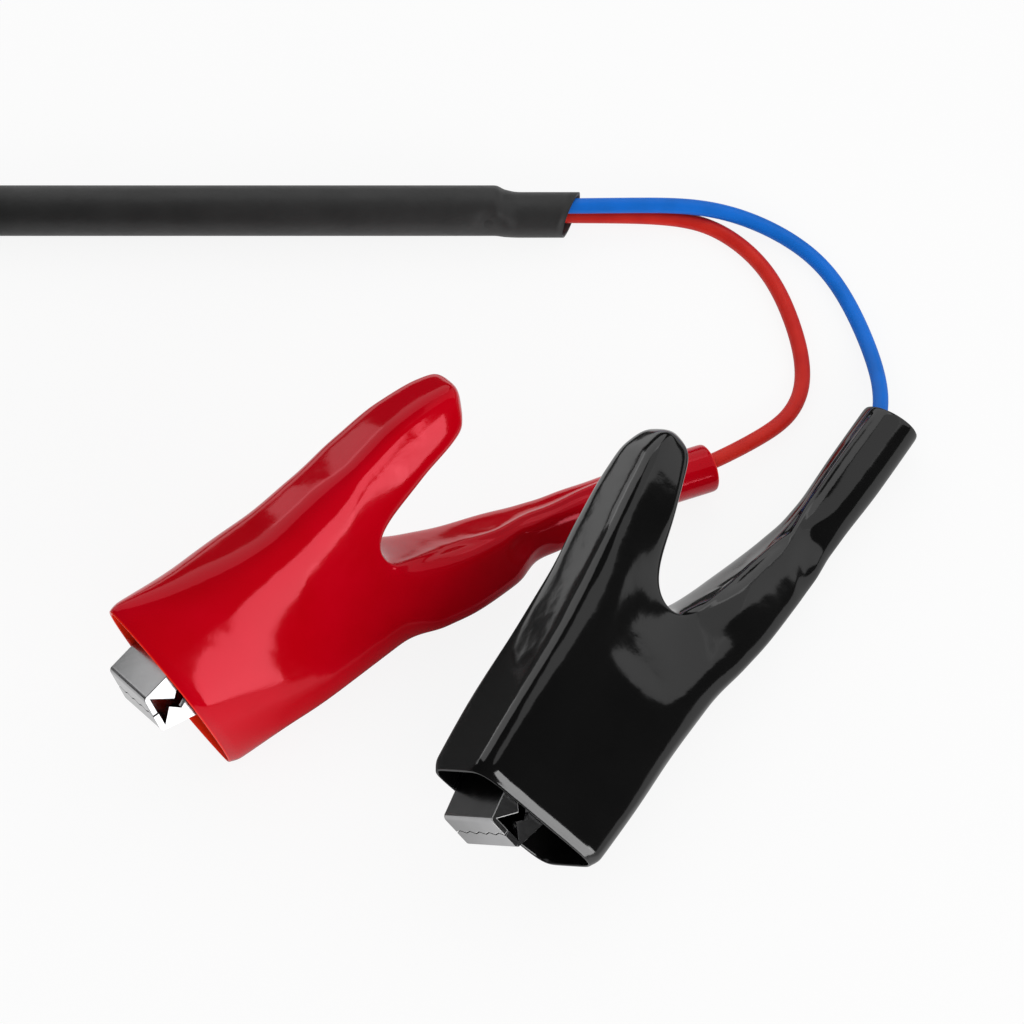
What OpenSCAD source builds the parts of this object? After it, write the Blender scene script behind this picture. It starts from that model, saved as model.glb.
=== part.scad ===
// Output lead of a car battery charger: a sheathed two-core cable ends in a
// heat-shrunk split, and each core runs to a sprung battery clip in a PVC boot.
// The rest of the cable lies coiled, with a two-pole connector on its end.

/* [Clip] */
// Width of the pressed jaws across the nose
jaw_width = 12.8; // [11:0.1:15]
// Height of the closed nose, both jaws together
nose_height = 7.1; // [5:0.1:9]
// Thickness of the pressed steel sheet
sheet = 1; // [0.6:0.1:1.3]
// Distance from the nose to the pivot
pivot_x = 31; // [29:0.5:33]
// Distance from the nose to the end of the free handle
handle_reach = 67.2; // [64:0.2:72]
// Distance from the nose to the end of the arm that carries the core
arm_reach = 66; // [64:0.5:68]
// Diameter of the pivot rivet
rivet_d = 3.2; // [2.4:0.1:4]
// Radius of the ears round the rivet
ear_r = 4.6; // [4:0.1:5]
// Teeth across the nose
nose_teeth = 5; // [3:1:8]
// Depth of the saw teeth on the nose
tooth_depth = 0.5; // [0.3:0.05:0.8]
// Diameter of the spring wire
spring_wire_d = 1.4; // [0.8:0.1:1.5]
// Mean diameter of the spring's coils
spring_coil_d = 6.4; // [5.6:0.1:6.8]

/* [Boot] */
// Wall of the dipped PVC boot
boot_wall = 1; // [0.7:0.1:1.2]
// Outer diameter of the black boot's sleeve
black_sleeve_d = 9.5; // [8:0.1:11]
// Outer diameter of the red boot's sleeve
red_sleeve_d = 7.8; // [7:0.1:10]
// Distance from the nose to the end of either sleeve
sleeve_reach = 100; // [96:1:106]

/* [Cores and cable] */
// Diameter of an insulated core
core_d = 2.5; // [1.8:0.1:2.8]
// Diameter of the bare strands of a core
strand_d = 1.3; // [0.8:0.1:1.6]
// Diameter of the sheathed cable
cable_d = 7.2; // [6.6:0.1:7.4]
// Wall of the heat-shrink sleeve
shrink_wall = 0.43; // [0.3:0.05:0.6]
// Length of the heat-shrink sleeve
shrink_length = 100; // [80:5:120]

/* [Coil] */
// Radius of the coil's outer loop, at the middle of the cable
coil_r = 46; // [44:0.5:52]
// Loops in the lower layer
coil_loops = 2; // [1:1:3]
// Space between neighbouring loops
loop_gap = 0.5; // [0.45:0.05:1]
// Width of each tie
tie_width = 5; // [3:0.5:9]
// Thickness of each tie
tie_thick = 0.7; // [0.4:0.1:0.9]

/* [Connector] */
// Length of the moulded body
plug_length = 20; // [16:1:26]
// Diameter of each of the body's two lobes
lobe_d = 9; // [8:0.5:11]
// Distance between the two contacts
contact_pitch = 10; // [9:0.5:12]
// Length of the socket's shroud past the body
shroud_length = 12; // [9:0.5:14]
// Diameter of the bare contact pin
contact_d = 3.8; // [3:0.1:4.2]
// Length of the bare contact pin
contact_length = 11; // [8:0.5:13]
// Outer diameter of the socket's contact
socket_d = 5.6; // [5:0.1:6.4]
// Length of the tapered strain relief
relief_length = 25; // [20:1:40]

/* [Hidden] */

$fn = 48;
eps = 0.01;          // overlap that makes a cut clean
fit = 0.3;           // space round a piece that moves or is soft
slide = 0.05;        // radial running clearance of the pivot
bite = 0.15;         // space between the closed jaws

// ---- where each clip lies: [roll, pitch, yaw] and the place of its nose
red_turn = [-34.2, -6.7, 36.6];
red_place = [-59, -41.2, 16];
black_turn = [-45, -1.1, 57.7];
black_place = [-5, -64.8, 16.9];
middle = [-12.71, -6.33];   // middle of the clips and the split, which the origin goes under

// ---- pressed jaws, in the clip's own axes: x from nose to handle, z to the free handle
pivot_z = -1;
half_nose = nose_height / 2;
rise = tan(11.7);                      // both jaws widen from the nose at this slope
jaw_half = jaw_width / 2;
inner_half = jaw_half - sheet - bite - 0.1;   // the free jaw's ears run inside the other's
spring_r = spring_coil_d / 2;

// ---- cable line
shrink_r = cable_d / 2 + shrink_wall;
cable_y = 51.7;
shrink_end = 10.6;
sheath_end = -3;
shrink_start = shrink_end - shrink_length;

// ---- coil of the cable
pitch_out = cable_d + loop_gap;
coil_centre = [shrink_start - 48.5, cable_y - coil_r];
coil_z = cable_d / 2 + tie_thick + 0.1;
upper_loops = coil_loops - 0.25;
inner_r = coil_r - pitch_out * coil_loops;
loop_rings = 24;

// ---- connector
plug_dir = [0.8, -0.6];
plug_turn = atan2(plug_dir[1], plug_dir[0]);
plug_from = [-160, -53.5];
lobe_z = lobe_d / 2;

// ------------------------------------------------------------------ helpers
function mix(a, b, t) = a + (b - a) * t;
function unit(v) = v / norm(v);

// Slope of a table of stations at row j, flat where a column turns back
function row_slope(rows, j) =
    j <= 0 ? rows[1] - rows[0] :
    j >= len(rows) - 1 ? rows[j] - rows[j - 1] :
    [for (c = [0:len(rows[0]) - 1])
        let (a = rows[j][c] - rows[j - 1][c], b = rows[j + 1][c] - rows[j][c])
        a * b <= 0 ? 0 : 2 * a * b / (a + b)];

// The station a share of the way between the table's rows
function station(rows, s) =
    let (i = min(floor(s), len(rows) - 2), t = s - i)
    (2 * t * t * t - 3 * t * t + 1) * rows[i] + (t * t * t - 2 * t * t + t) * row_slope(rows, i)
    + (3 * t * t - 2 * t * t * t) * rows[i + 1] + (t * t * t - t * t) * row_slope(rows, i + 1);

function power(c, n) = sign(c) * pow(abs(c), 2 / n);

// A ring of a boot: [x, z, tilt, half height, half width, squareness], less a wall
function boot_ring(st, wall, sides) =
    [for (k = [0:sides - 1])
        let (a = -(k + 0.5) * 360 / sides,
             y = max(st[4] - wall, 0.1) * power(cos(a), st[5]),
             q = max(st[3] - wall, 0.1) * power(sin(a), st[5]))
        [st[0] - q * sin(st[2]), y, st[1] + q * cos(st[2])]];

// The point numbers of ring i, and the triangles between two rings' point numbers
function ring_at(i, n) = [for (k = [0:n - 1]) i * n + k];

function join(a, b) =
    [for (k = [0:len(a) - 1], h = [0, 1])
        let (j = (k + 1) % len(a))
        h == 0 ? [a[k], a[j], b[j]] : [a[k], b[j], b[k]]];

function walls(from, to, n) =
    [for (i = [from:1:to - 1]) each join(ring_at(i, n), ring_at(i + 1, n))];

function end_cap(ring) = [for (k = [1:len(ring) - 2]) [ring[0], ring[k], ring[k + 1]]];

function turned(faces, by) = [for (f = faces) [f[2] + by, f[1] + by, f[0] + by]];

// A closed skin over rings of equal count
module skin(rings) {
    n = len(rings[0]);
    last = len(rings) - 1;
    polyhedron(points = [for (r = rings) each r],
               faces = concat(walls(0, last, n), end_cap(ring_at(last, n)),
                              turned(end_cap(ring_at(0, n)), 0)));
}

// A pipe: a skin over the outer rings that turns in at the end and comes back inside
module pipe(outer, inner) {
    n = len(outer[0]);
    rings = concat(outer, [for (i = [len(inner) - 1:-1:0]) inner[i]]);
    last = len(rings) - 1;
    polyhedron(points = [for (r = rings) each r],
               faces = concat(walls(0, last, n), join(ring_at(last, n), ring_at(0, n))));
}

// Faces of a skin that forks: shared rings, then the upper and the lower branch's rings.
// A ring's first half is its lower side. The bridge is the half ring of points across
// the crotch, and it closes each branch's own half of the last shared ring.
function fork_faces(n, shared, upper, lower) =
    let (last = ring_at(shared - 1, n),
         half = n / 2,
         bridge = [for (k = [0:half - 1]) (shared + upper + lower) * n + k],
         up = [for (k = [0:n - 1]) k < half ? bridge[k] : last[k]],
         low = [for (k = [0:n - 1]) k < half ? last[k] : bridge[n - 1 - k]])
    concat(walls(0, shared - 1, n),
           join(up, ring_at(shared, n)), walls(shared, shared + upper - 1, n),
           join(low, ring_at(shared + upper, n)),
           walls(shared + upper, shared + upper + lower - 1, n),
           [[last[half - 1], last[half], bridge[half - 1]], [last[n - 1], last[0], bridge[0]]]);

// A round tube's ring about p, square to direction d, with no twist along the route
function tube_ring(p, d, r, sides) =
    let (side = unit(cross(abs(d[2]) > 0.9 ? [0, 1, 0] : [0, 0, 1], d)), up = cross(d, side))
    [for (k = [0:sides - 1])
        let (a = (k + 0.5) * 360 / sides) p + r * (cos(a) * up + sin(a) * side)];

function way(route, i) =
    unit(route[min(i + 1, len(route) - 1)] - route[max(i - 1, 0)]);

// A tube along a route; first and last are the directions that its end faces are square to
module tube(route, d, sides, first, last) {
    end = len(route) - 1;
    ways = [for (i = [0:end]) i == 0 ? unit(first) : i == end ? unit(last) : way(route, i)];
    skin([for (i = [0:end]) tube_ring(route[i], ways[i], d / 2, sides)]);
}

// Least space between turns of a tube, skipping neighbours along it
function least_gap(route, d, skip) =
    min([for (i = [0:len(route) - 1 - skip], j = [i + skip:len(route) - 1])
        norm(route[i] - route[j])]) - d;

module place(turn, at) {
    translate(at) rotate(turn) children();
}

// The point that place() sends p to
function placed(turn, at, p) =
    let (x1 = p[0], y1 = p[1] * cos(turn[0]) - p[2] * sin(turn[0]),
         z1 = p[1] * sin(turn[0]) + p[2] * cos(turn[0]),
         x2 = x1 * cos(turn[1]) + z1 * sin(turn[1]), z2 = z1 * cos(turn[1]) - x1 * sin(turn[1]))
    [x2 * cos(turn[2]) - y1 * sin(turn[2]), x2 * sin(turn[2]) + y1 * cos(turn[2]), z2] + at;

// ------------------------------------------------------------------ pressed steel jaws
module side_plate(outline, half) {
    translate([0, half, 0]) rotate([90, 0, 0]) linear_extrude(2 * half) polygon(outline);
}

// A width along the clip, as [x, half width] stations, less a margin
module plan(stations, less) {
    upper = [for (p = stations) [p[0], p[1] - less]];
    lower = [for (i = [len(stations) - 1:-1:0]) [stations[i][0], less - stations[i][1]]];
    translate([0, 0, -40]) linear_extrude(80) polygon(concat(upper, lower));
}

// The upper bend of a nose, from its front face to its sloped top
function nose_bend(r) =
    [for (a = [180:-15:90]) [r + r * cos(a), half_nose - r + r * sin(a)]];

// Saw teeth along the nose's parting line; sense 1 or -1 sets which way they start
module saw(lift, sense) {
    step = jaw_width / nose_teeth;
    zig = [for (i = [0:2 * nose_teeth])
        [-jaw_half + i * step / 2, lift + sense * tooth_depth * (i % 2 - 0.5)]];
    translate([-eps, 0, 0]) rotate([90, 0, 90]) linear_extrude(sheet + 2 * eps)
        polygon(concat([[-jaw_half - 1, -half_nose * 2]], [[-jaw_half - 1, zig[0][1]]], zig,
                       [[jaw_half + 1, zig[0][1]]], [[jaw_half + 1, -half_nose * 2]]));
}

function top_at(x) = half_nose + rise * x;

// The back of the free jaw, seen from the side
upper_back = [[20, top_at(20)], [26, 9.2], [pivot_x, 10.2], [38, 11], [45, 12.4], [53, 13.9],
              [handle_reach - 7.2, 14.5], [handle_reach - 2.7, 14],
              [handle_reach - 0.7, 13], [handle_reach, 12], [handle_reach - 0.5, 10.9]];
// Its open edge, from the handle's end to the biting edge
upper_edge = [[handle_reach - 1.6, 10.3], [61.5, 9.4], [55.4, 7.4], [49, 3.6], [43, 1],
              [pivot_x + ear_r + 0.4, 0.4], [pivot_x, 0.2], [pivot_x - ear_r - 0.4, 0.6],
              [22, 2.2], [16, 1.8], [10, 0.9], [8.2, 0.2], [7, 1], [5.4, 1.2],
              [4.4, bite / 2], [sheet, half_nose - 0.9], [sheet, -tooth_depth], [0, -tooth_depth]];
upper_wide = [[-1, jaw_half], [15.5, jaw_half], [19.5, inner_half], [40, inner_half],
              [46, 4.7], [54, 3.9], [61, 3.1], [handle_reach - 2.2, 2.4],
              [handle_reach + 1, 1.4]];

// The back of the wired jaw, and its open edge, mirrored in z
lower_back = [[20, top_at(20)], [26, 9.8], [pivot_x + 1, 12], [arm_reach - 26, 14.5],
              [arm_reach - 18, 16.8], [arm_reach - 10, 18],
              [arm_reach - 2, 18.8], [arm_reach - 0.5, 18.3], [arm_reach, 17.4]];
lower_edge = [[arm_reach, 16], [arm_reach - 2, 15.2], [arm_reach - 10, 12.9],
              [arm_reach - 18, 9.6], [arm_reach - 24, 4.8],
              [pivot_x + ear_r + 0.8, 2], [pivot_x, 1.2], [pivot_x - ear_r - 0.4, 1.6],
              [22, 2.4], [14, 1.6], [9, 1.4], [7.4, bite / 2], [5.7, 1.4], [4.6, 2],
              [3, bite / 2 + 0.4], [sheet, half_nose - 0.7], [sheet, -tooth_depth],
              [0, -tooth_depth]];
lower_wide = [[-1, jaw_half], [pivot_x + ear_r + 0.4, jaw_half], [arm_reach - 28, 5.9],
              [arm_reach - 24, 5.4], [arm_reach - 18, 4.9], [arm_reach - 10, 4.1],
              [arm_reach - 4, 3.3], [arm_reach + 1, 2.6]];

// A pressed channel with a closed back, an open edge and side walls
module channel(back, edge, wide) {
    bend = 0.8;
    difference() {
        intersection() {
            side_plate(concat(nose_bend(bend), back, edge), jaw_half + 1);
            plan(wide, 0);
        }
        intersection() {
            side_plate(concat([[sheet, -30], [sheet, half_nose - sheet]],
                              [for (p = back) [p[0], p[1] - sheet * 1.03]],
                              [[handle_reach + 9, 0], [handle_reach + 9, -30]]), jaw_half + 1);
            plan(wide, sheet);
        }
    }
}

// The two ears round the rivet, each with a web that reaches towards its channel
module ears(half, web_from) {
    for (side = [-1, 1])
        translate([pivot_x, side * (half - sheet / 2), pivot_z]) {
            rotate([90, 0, 0]) cylinder(r = ear_r, h = sheet, center = true);
            translate([-ear_r, -sheet / 2, web_from]) cube([2 * ear_r, sheet, 3]);
        }
}

module rivet_hole(r) {
    translate([pivot_x, 0, pivot_z]) rotate([90, 0, 0])
        cylinder(r = r, h = 2 * jaw_width, center = true);
}

module upper_jaw() {
    color("silver") difference() {
        union() {
            channel(upper_back, upper_edge, upper_wide);
            ears(inner_half, 0);
        }
        saw(0, 1);
        rivet_hole(rivet_d / 2 + slide);
    }
}

// The crimp that holds the core's strands on the arm
crimp_x = arm_reach - 12;
crimp_length = 9;
crimp_z = -16.2;
crimp_wall = 0.8;
crimp_foot = 1.6;    // height of the rib under the barrel

module lower_jaw() {
    color("silver") difference() {
        union() {
            difference() {
                mirror([0, 0, 1]) channel(lower_back, lower_edge, lower_wide);
                mirror([0, 0, 1]) saw(bite, -1);
            }
            ears(jaw_half, -3);
            translate([crimp_x, 0, crimp_z]) rotate([0, 90, 0])
                cylinder(d = strand_d + 2 * crimp_wall, h = crimp_length);
            translate([crimp_x, -strand_d, crimp_z - strand_d / 2 - 0.1 - crimp_foot])
                cube([crimp_length, 2 * strand_d, crimp_foot]);
        }
        rivet_hole(rivet_d / 2);
        translate([crimp_x - 1, 0, crimp_z]) rotate([0, 90, 0])
            cylinder(d = strand_d, h = arm_reach - crimp_x + 2);
    }
}

module rivet() {
    head = 0.7;
    color("gainsboro") translate([pivot_x, 0, pivot_z]) rotate([90, 0, 0]) {
        cylinder(d = rivet_d, h = jaw_width, center = true);
        for (side = [0, 1]) mirror([0, 0, side]) translate([0, 0, jaw_half])
            cylinder(r1 = rivet_d / 2 + 0.9, r2 = rivet_d / 2 + 0.3, h = head);
    }
}

// ---- torsion spring: a leg under each handle and curls round the rivet
upper_leg = 27;      // slope of the leg in the free handle
lower_leg = 33;      // slope of the leg in the arm
leg_length = 15;
curl_pitch = spring_wire_d + loop_gap;
curl_rings = 8;
curl_from = 90 + upper_leg;
curl_to = 270 - lower_leg + 3 * 360;
curl_count = ceil((curl_to - curl_from) / 360 * curl_rings);
spring_width = (curl_to - curl_from) / 360 * curl_pitch;

function curl(t) =
    let (a = mix(curl_from, curl_to, t))
    [pivot_x + spring_r * cos(a), mix(spring_width, -spring_width, t) / 2, pivot_z + spring_r * sin(a)];

function spring_route() =
    let (a = curl(0), b = curl(1))
    concat([for (k = [leg_length, leg_length / 2, spring_wire_d])
                a + k * [cos(upper_leg), 0, sin(upper_leg)]],
           [for (i = [0:curl_count]) curl(i / curl_count)],
           [for (k = [spring_wire_d, leg_length / 2, leg_length])
                b + k * [cos(lower_leg), 0, -sin(lower_leg)]]);

module spring() {
    route = spring_route();
    echo("least gap between the spring's curls", least_gap(route, spring_wire_d, curl_rings - 1));
    color("dimgray") skin([for (i = [0:len(route) - 1])
        let (d = way(route, i), side = unit(cross([0, 1, 0], d)), up = cross(d, side))
        [for (k = [0:5]) route[i] + spring_wire_d / 2 * (cos(60 * k) * up + sin(60 * k) * side)]]);
}

// ------------------------------------------------------------------ PVC boots
// Half width of a boot that clears the jaws, with some room to spare
function over_jaws(spare) = jaw_half + fit + boot_wall + spare;

// Stations of the black boot: x, z, tilt, half height, half width, squareness
black_body = [
    [6, -3.4, 6.5, 14.2, over_jaws(0.1), 7], [18, -2.8, 3, 14.8, over_jaws(0.5), 6],
    [30, -2.4, 0, 15.2, over_jaws(0.5), 5], [40, -2.2, 0, 16.2, over_jaws(0.2), 4]];
black_crotch = [48, -1.8];
black_handle = [
    [52, 9.4, 13, 6.4, 6.9, 3.4],
    [handle_reach - 6.2, 12, 10, 5, 6.2, 3], [handle_reach - 1.2, 12.8, 4, 4.4, 5.2, 2.6],
    [handle_reach + 2.2, 12.8, 0, 3, 3.6, 2.4], [handle_reach + 3.8, 12.6, 0, 0.3, 0.4, 2.2]];
black_arm = [
    [51, -13.1, -9, 7.1, 7.4, 3.2], [57, -15, -10, 6.3, 6.9, 3],
    [arm_reach - 2, -16.5, -8, 5.6, 6, 2.6], [arm_reach + 5, -17.7, -5, 4.9, 5, 2.3],
    [arm_reach + 10, -18.2, -3, 4.5, 3.9, 2.1],
    [arm_reach + 15, -18.5, -3, black_sleeve_d / 2 - 0.25, black_sleeve_d / 2 - 0.25, 2],
    [sleeve_reach - 10, -18.7, -2, black_sleeve_d / 2, black_sleeve_d / 2, 2],
    [sleeve_reach, -18.8, 6, black_sleeve_d / 2, black_sleeve_d / 2, 2]];

// Stations of the red boot, squeezed to a lens at its mouth
red_body = [
    [6, -1.8, 6.5, 18.6, over_jaws(1.4), 1.6], [18, -2.5, 3, 16.7, over_jaws(1.5), 2.5],
    [30, -2.7, 0, 15.7, over_jaws(0.7), 4], [40, -2.2, 0, 16.2, over_jaws(0.2), 4]];
red_crotch = [45, -0.9];
red_handle = [
    [50, 8.7, 13, 6.7, 6.8, 3.5],
    [handle_reach - 9, 11.2, 12, 5.3, 5.8, 3.2], [handle_reach - 2.2, 11.6, 4, 4.4, 4.6, 2.6],
    [handle_reach + 0.8, 10.9, 0, 2.9, 3.2, 2.4], [handle_reach + 2.2, 10.4, 0, 0.3, 0.4, 2.2]];
red_arm = [
    [49, -13.5, -10, 7, 7.5, 3.2], [55, -15.8, -13, 6.3, 6.8, 2.8],
    [arm_reach - 3.6, -17.4, -12, 5.5, 5.6, 2.5], [arm_reach + 2, -18.5, -14, 4.5, 4.2, 2.2],
    [arm_reach + 7, -19.7, -16, 4, 4, 2],
    [arm_reach + 14, -21.6, -19, red_sleeve_d / 2, red_sleeve_d / 2, 2],
    [sleeve_reach - 10, -25.2, -20, red_sleeve_d / 2, red_sleeve_d / 2, 2],
    [sleeve_reach - 2, -28.3, -20, red_sleeve_d / 2, red_sleeve_d / 2, 2]];

boot_sides = 24;
steps = 2;           // rings to each row of stations

function run_of(rows, to, wall) =
    [for (i = [0:steps * to]) boot_ring(station(rows, i / steps), wall, boot_sides)];

// The half ring of points across the crotch, less a wall
function bridge_of(body, crotch, wall) =
    let (st = body[len(body) - 1],
         ring = boot_ring([crotch[0] - wall, crotch[1], 0, st[3], st[4], st[5]], wall, boot_sides))
    [for (k = [0:boot_sides / 2 - 1]) [ring[k][0], ring[k][1], crotch[1]]];

module boot(body, crotch, handle, arm, tint) {
    n = boot_sides;
    tip = len(handle) - 1;
    end = len(arm) - 1;
    shared = steps * (len(body) - 1) + 1;
    upper = steps * tip + 1;
    upper_inside = steps * (tip - 1) + 1;
    lower = steps * end + 1;
    outer = concat(run_of(body, len(body) - 1, 0), run_of(handle, tip, 0), run_of(arm, end, 0),
                   [bridge_of(body, crotch, 0)]);
    inner = concat(run_of(body, len(body) - 1, boot_wall), run_of(handle, tip - 1, boot_wall),
                   run_of(arm, end, boot_wall), [bridge_of(body, crotch, boot_wall)]);
    outside = concat(fork_faces(n, shared, upper, lower),
                     end_cap(ring_at(shared + upper - 1, n)));
    inside = concat(fork_faces(n, shared, upper_inside, lower),
                    end_cap(ring_at(shared + upper_inside - 1, n)));
    past = (shared + upper + lower) * n + n / 2;
    mouth_inside = [for (k = ring_at(0, n)) k + past];
    end_inside = [for (k = ring_at(shared + upper_inside + lower - 1, n)) k + past];
    color(tint) polyhedron(
        points = concat([for (r = outer) each r], [for (r = inner) each r]),
        faces = concat(outside, turned(inside, past), join(mouth_inside, ring_at(0, n)),
                       join(ring_at(shared + upper + lower - 1, n), end_inside)));
}

// How far the bare strands show past the crimped arm, and where the core's insulation ends
strip_end = arm_reach + 0.8;

module strands() {
    color("peru") translate([crimp_x - 0.8, 0, crimp_z]) rotate([0, 90, 0])
        cylinder(d = strand_d, h = strip_end - crimp_x + 0.8);
}

// ------------------------------------------------------------------ cores and heat-shrink
// Inside each boot a core runs from the sleeve's mouth to the crimp
function core_inside(arm, turn, at) =
    let (end = len(arm) - 1)
    concat([for (s = [end, end - 1, end - 2, end - 3, end - 4])
                let (st = station(arm, s))
                placed(turn, at, [st[0], 0, s == end - 4 ? mix(st[1], crimp_z, 0.4) : st[1]])],
           [placed(turn, at, [strip_end, 0, crimp_z])]);

// The free part of the blue core, from the sheath to the black sleeve
blue_free = [[sheath_end, 52, 5.2], [sheath_end + 2, 52, 5.05], [3, 52.1, 4.65], [11, 52.3, 4.5],
             [19, 52.4, 4.4], [25, 52.7, 4.2], [30.5, 52.8, 3.5], [36, 52, 2.3],
             [41.5, 49.8, 1.5], [46.8, 46.4, 1.3], [50.4, 42.4, 1.3], [53.2, 37.5, 1.3],
             [55.6, 31.6, 1.3], [57.4, 26.2, 1.8], [58.5, 20.3, 3.4]];
// The free part of the red core, from the sheath to the red sleeve
red_free = [[sheath_end, 52, 2.65], [sheath_end + 2, 52, 2.5], [3, 51.9, 2.1], [11, 51.8, 1.9],
            [19, 52.2, 1.6], [26.5, 52, 1.3], [30.5, 51, 1.3], [34, 49, 1.3],
            [37.8, 46, 1.3], [40.5, 42.4, 1.3], [42.6, 38.7, 1.3], [44.2, 34, 1.3],
            [45.5, 29.8, 1.3], [46.2, 25.6, 1.3], [46.2, 22.3, 1.3], [45.6, 19.2, 1.3],
            [44, 16.2, 1.4], [41.6, 13.7, 1.8], [38.2, 11.2, 2.9]];

module core(free, arm, turn, at) {
    tube(concat(free, core_inside(arm, turn, at)), core_d, 8, [1, 0, 0],
         placed(turn, [0, 0, 0], [-1, 0, 0]));
}

module blue_core() {
    color("royalblue") core(blue_free, black_arm, black_turn, black_place);
}

module red_core() {
    color("firebrick") core(red_free, red_arm, red_turn, red_place);
}

// Rings of the heat-shrink: x, middle y, middle z, half width, half height, slant
shrink_z = shrink_r * cos(180 / boot_sides);
neck_y = cable_y - 0.4;
neck = [3.72, 3.3];
shrink_rows = [
    [shrink_start, cable_y, shrink_z, shrink_r, shrink_r, 0],
    [sheath_end - 4, cable_y, shrink_z, shrink_r, shrink_r, 0],
    [sheath_end + 0.1, cable_y, shrink_z, shrink_r, shrink_r, 0],
    [sheath_end + 2, neck_y + 0.1, neck[1] + 0.3, neck[0] + 0.1, neck[1] + 0.3, 0],
    [sheath_end + 4.4, neck_y, neck[1], neck[0], neck[1], 0],
    [shrink_end - 1.2, neck_y, neck[1], neck[0], neck[1], 1.4]];

function shrink_ring(row, wall) =
    [for (k = [0:boot_sides - 1])
        let (a = -(k + 0.5) * 360 / boot_sides, u = cos(a), v = sin(a))
        [row[0] + row[5] * u, row[1] + (row[3] - wall) * u, row[2] + (row[4] - wall) * v]];

module heat_shrink() {
    color("dimgray") pipe([for (r = shrink_rows) shrink_ring(r, 0)],
                          [for (r = shrink_rows) shrink_ring(r, shrink_wall - 0.04)]);
}

module cable_end() {
    color("black") translate([shrink_start, cable_y, shrink_z]) rotate([0, 90, 0])
        cylinder(d = cable_d, h = sheath_end - shrink_start);
}

// ------------------------------------------------------------------ cable, coil and ties
// A point of the coil, a count of loops along it: in, up a layer, and out again
climb = 0.5;
coil_turns = coil_loops + climb + upper_loops;

function coil_point(t) =
    let (down = min(t, coil_loops), up = max(t - coil_loops - climb, 0),
         turn = min(max((t - coil_loops) / climb, 0), 1),
         r = coil_r - pitch_out * (down - up) - 1.6 * sin(180 * turn),
         a = 90 + 360 * t)
    [coil_centre[0] + r * cos(a), coil_centre[1] + r * sin(a),
     coil_z + pitch_out * (1 - cos(180 * turn)) / 2];

coil_route = [for (i = [0:coil_turns * loop_rings]) coil_point(i / loop_rings)];
coil_first = coil_route[0];
coil_last = coil_route[len(coil_route) - 1];

coil_first_way = [-1, 0, 0];
coil_last_way = [0, -1, 0];

module cable_run() {
    color("black") tube([[shrink_start, cable_y, shrink_z], [shrink_start - 16, cable_y, shrink_z],
                         [shrink_start - 32, cable_y, mix(shrink_z, coil_z, 0.7)], coil_first],
                        cable_d, 8, [-1, 0, 0], coil_first_way);
}

module cable_coil() {
    echo("least gap of the coil to itself", least_gap(coil_route, cable_d, loop_rings / 2));
    echo("length of the coil", sum_of(coil_route));
    color("black") tube(coil_route, cable_d, 6, coil_first_way, coil_last_way);
}

function sum_of(route, i = 1) =
    i >= len(route) ? 0 : norm(route[i] - route[i - 1]) + sum_of(route, i + 1);

tail_route = [coil_last, [-182, -3, 12.1], [-182, -12, 11.8], [-182, -22, 9.6],
              [-180.2, -32, 6.9], [-176, -40, 5.1], [-170, -46, 4.6],
              [plug_from[0], plug_from[1], lobe_z]];

module cable_tail() {
    color("black") tube(tail_route, cable_d, 8, coil_last_way, [plug_dir[0], plug_dir[1], 0]);
}

// A flat band round the bundle of loops
module tie(a) {
    low = inner_r - cable_d / 2 - 1.2;
    high = coil_r + cable_d / 2 + 0.3;
    tall = coil_z + pitch_out + cable_d / 2 + 0.2;
    translate([coil_centre[0], coil_centre[1], 0]) rotate([0, 0, a])
        translate([0, tie_width / 2, 0]) rotate([90, 0, 0]) linear_extrude(tie_width) difference() {
            translate([low - tie_thick, 0]) square([high - low + 2 * tie_thick, tall + tie_thick]);
            translate([low, tie_thick]) square([high - low, tall - tie_thick]);
        }
}

module coil_ties() {
    color("dimgray") for (a = [35, 250]) tie(a);
}

// ------------------------------------------------------------------ connector
module at_plug() {
    translate([plug_from[0], plug_from[1], lobe_z]) rotate([0, 0, plug_turn]) children();
}

module strain_relief() {
    color("black") at_plug() rotate([0, 90, 0])
        cylinder(d1 = cable_d + 0.6, d2 = lobe_d, h = relief_length);
}

module connector_body() {
    color("black") at_plug() translate([relief_length, 0, 0]) rotate([0, 90, 0]) difference() {
        union() {
            for (side = [-1, 1]) translate([0, side * contact_pitch / 2, 0])
                cylinder(d = lobe_d, h = plug_length);
            translate([-lobe_d / 2 + 1, -contact_pitch / 2, 0])
                cube([lobe_d - 2, contact_pitch, plug_length]);
            translate([0, contact_pitch / 2, plug_length]) cylinder(d = lobe_d, h = shroud_length);
        }
        translate([0, contact_pitch / 2, plug_length]) cylinder(d = socket_d, h = shroud_length + 1);
        translate([0, -contact_pitch / 2, plug_length - root_length])
            cylinder(d = contact_d - root_step, h = root_length + 1);
    }
}

module connector_socket() {
    color("goldenrod") at_plug() translate([relief_length + plug_length, contact_pitch / 2, 0])
        rotate([0, 90, 0]) difference() {
            cylinder(d = socket_d, h = shroud_length - 0.6);
            translate([0, 0, 1]) cylinder(d = contact_d + 0.1, h = shroud_length);
        }
}

// The pin: a thinner root in the body, and a neck, a barrel and a tapered tip out of it
root_length = 5;
root_step = 0.8;
neck_length = 0.6;
tip_length = 1;
barrel_length = contact_length - neck_length - tip_length;

module connector_pin() {
    color("goldenrod") at_plug() translate([relief_length + plug_length, -contact_pitch / 2, 0])
        rotate([0, 90, 0]) {
            translate([0, 0, -root_length])
                cylinder(d = contact_d - root_step, h = root_length + neck_length);
            translate([0, 0, neck_length]) {
                cylinder(d = contact_d, h = barrel_length);
                translate([0, 0, barrel_length])
                    cylinder(d1 = contact_d, d2 = contact_d - 1.4, h = tip_length);
            }
        }
}

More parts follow.
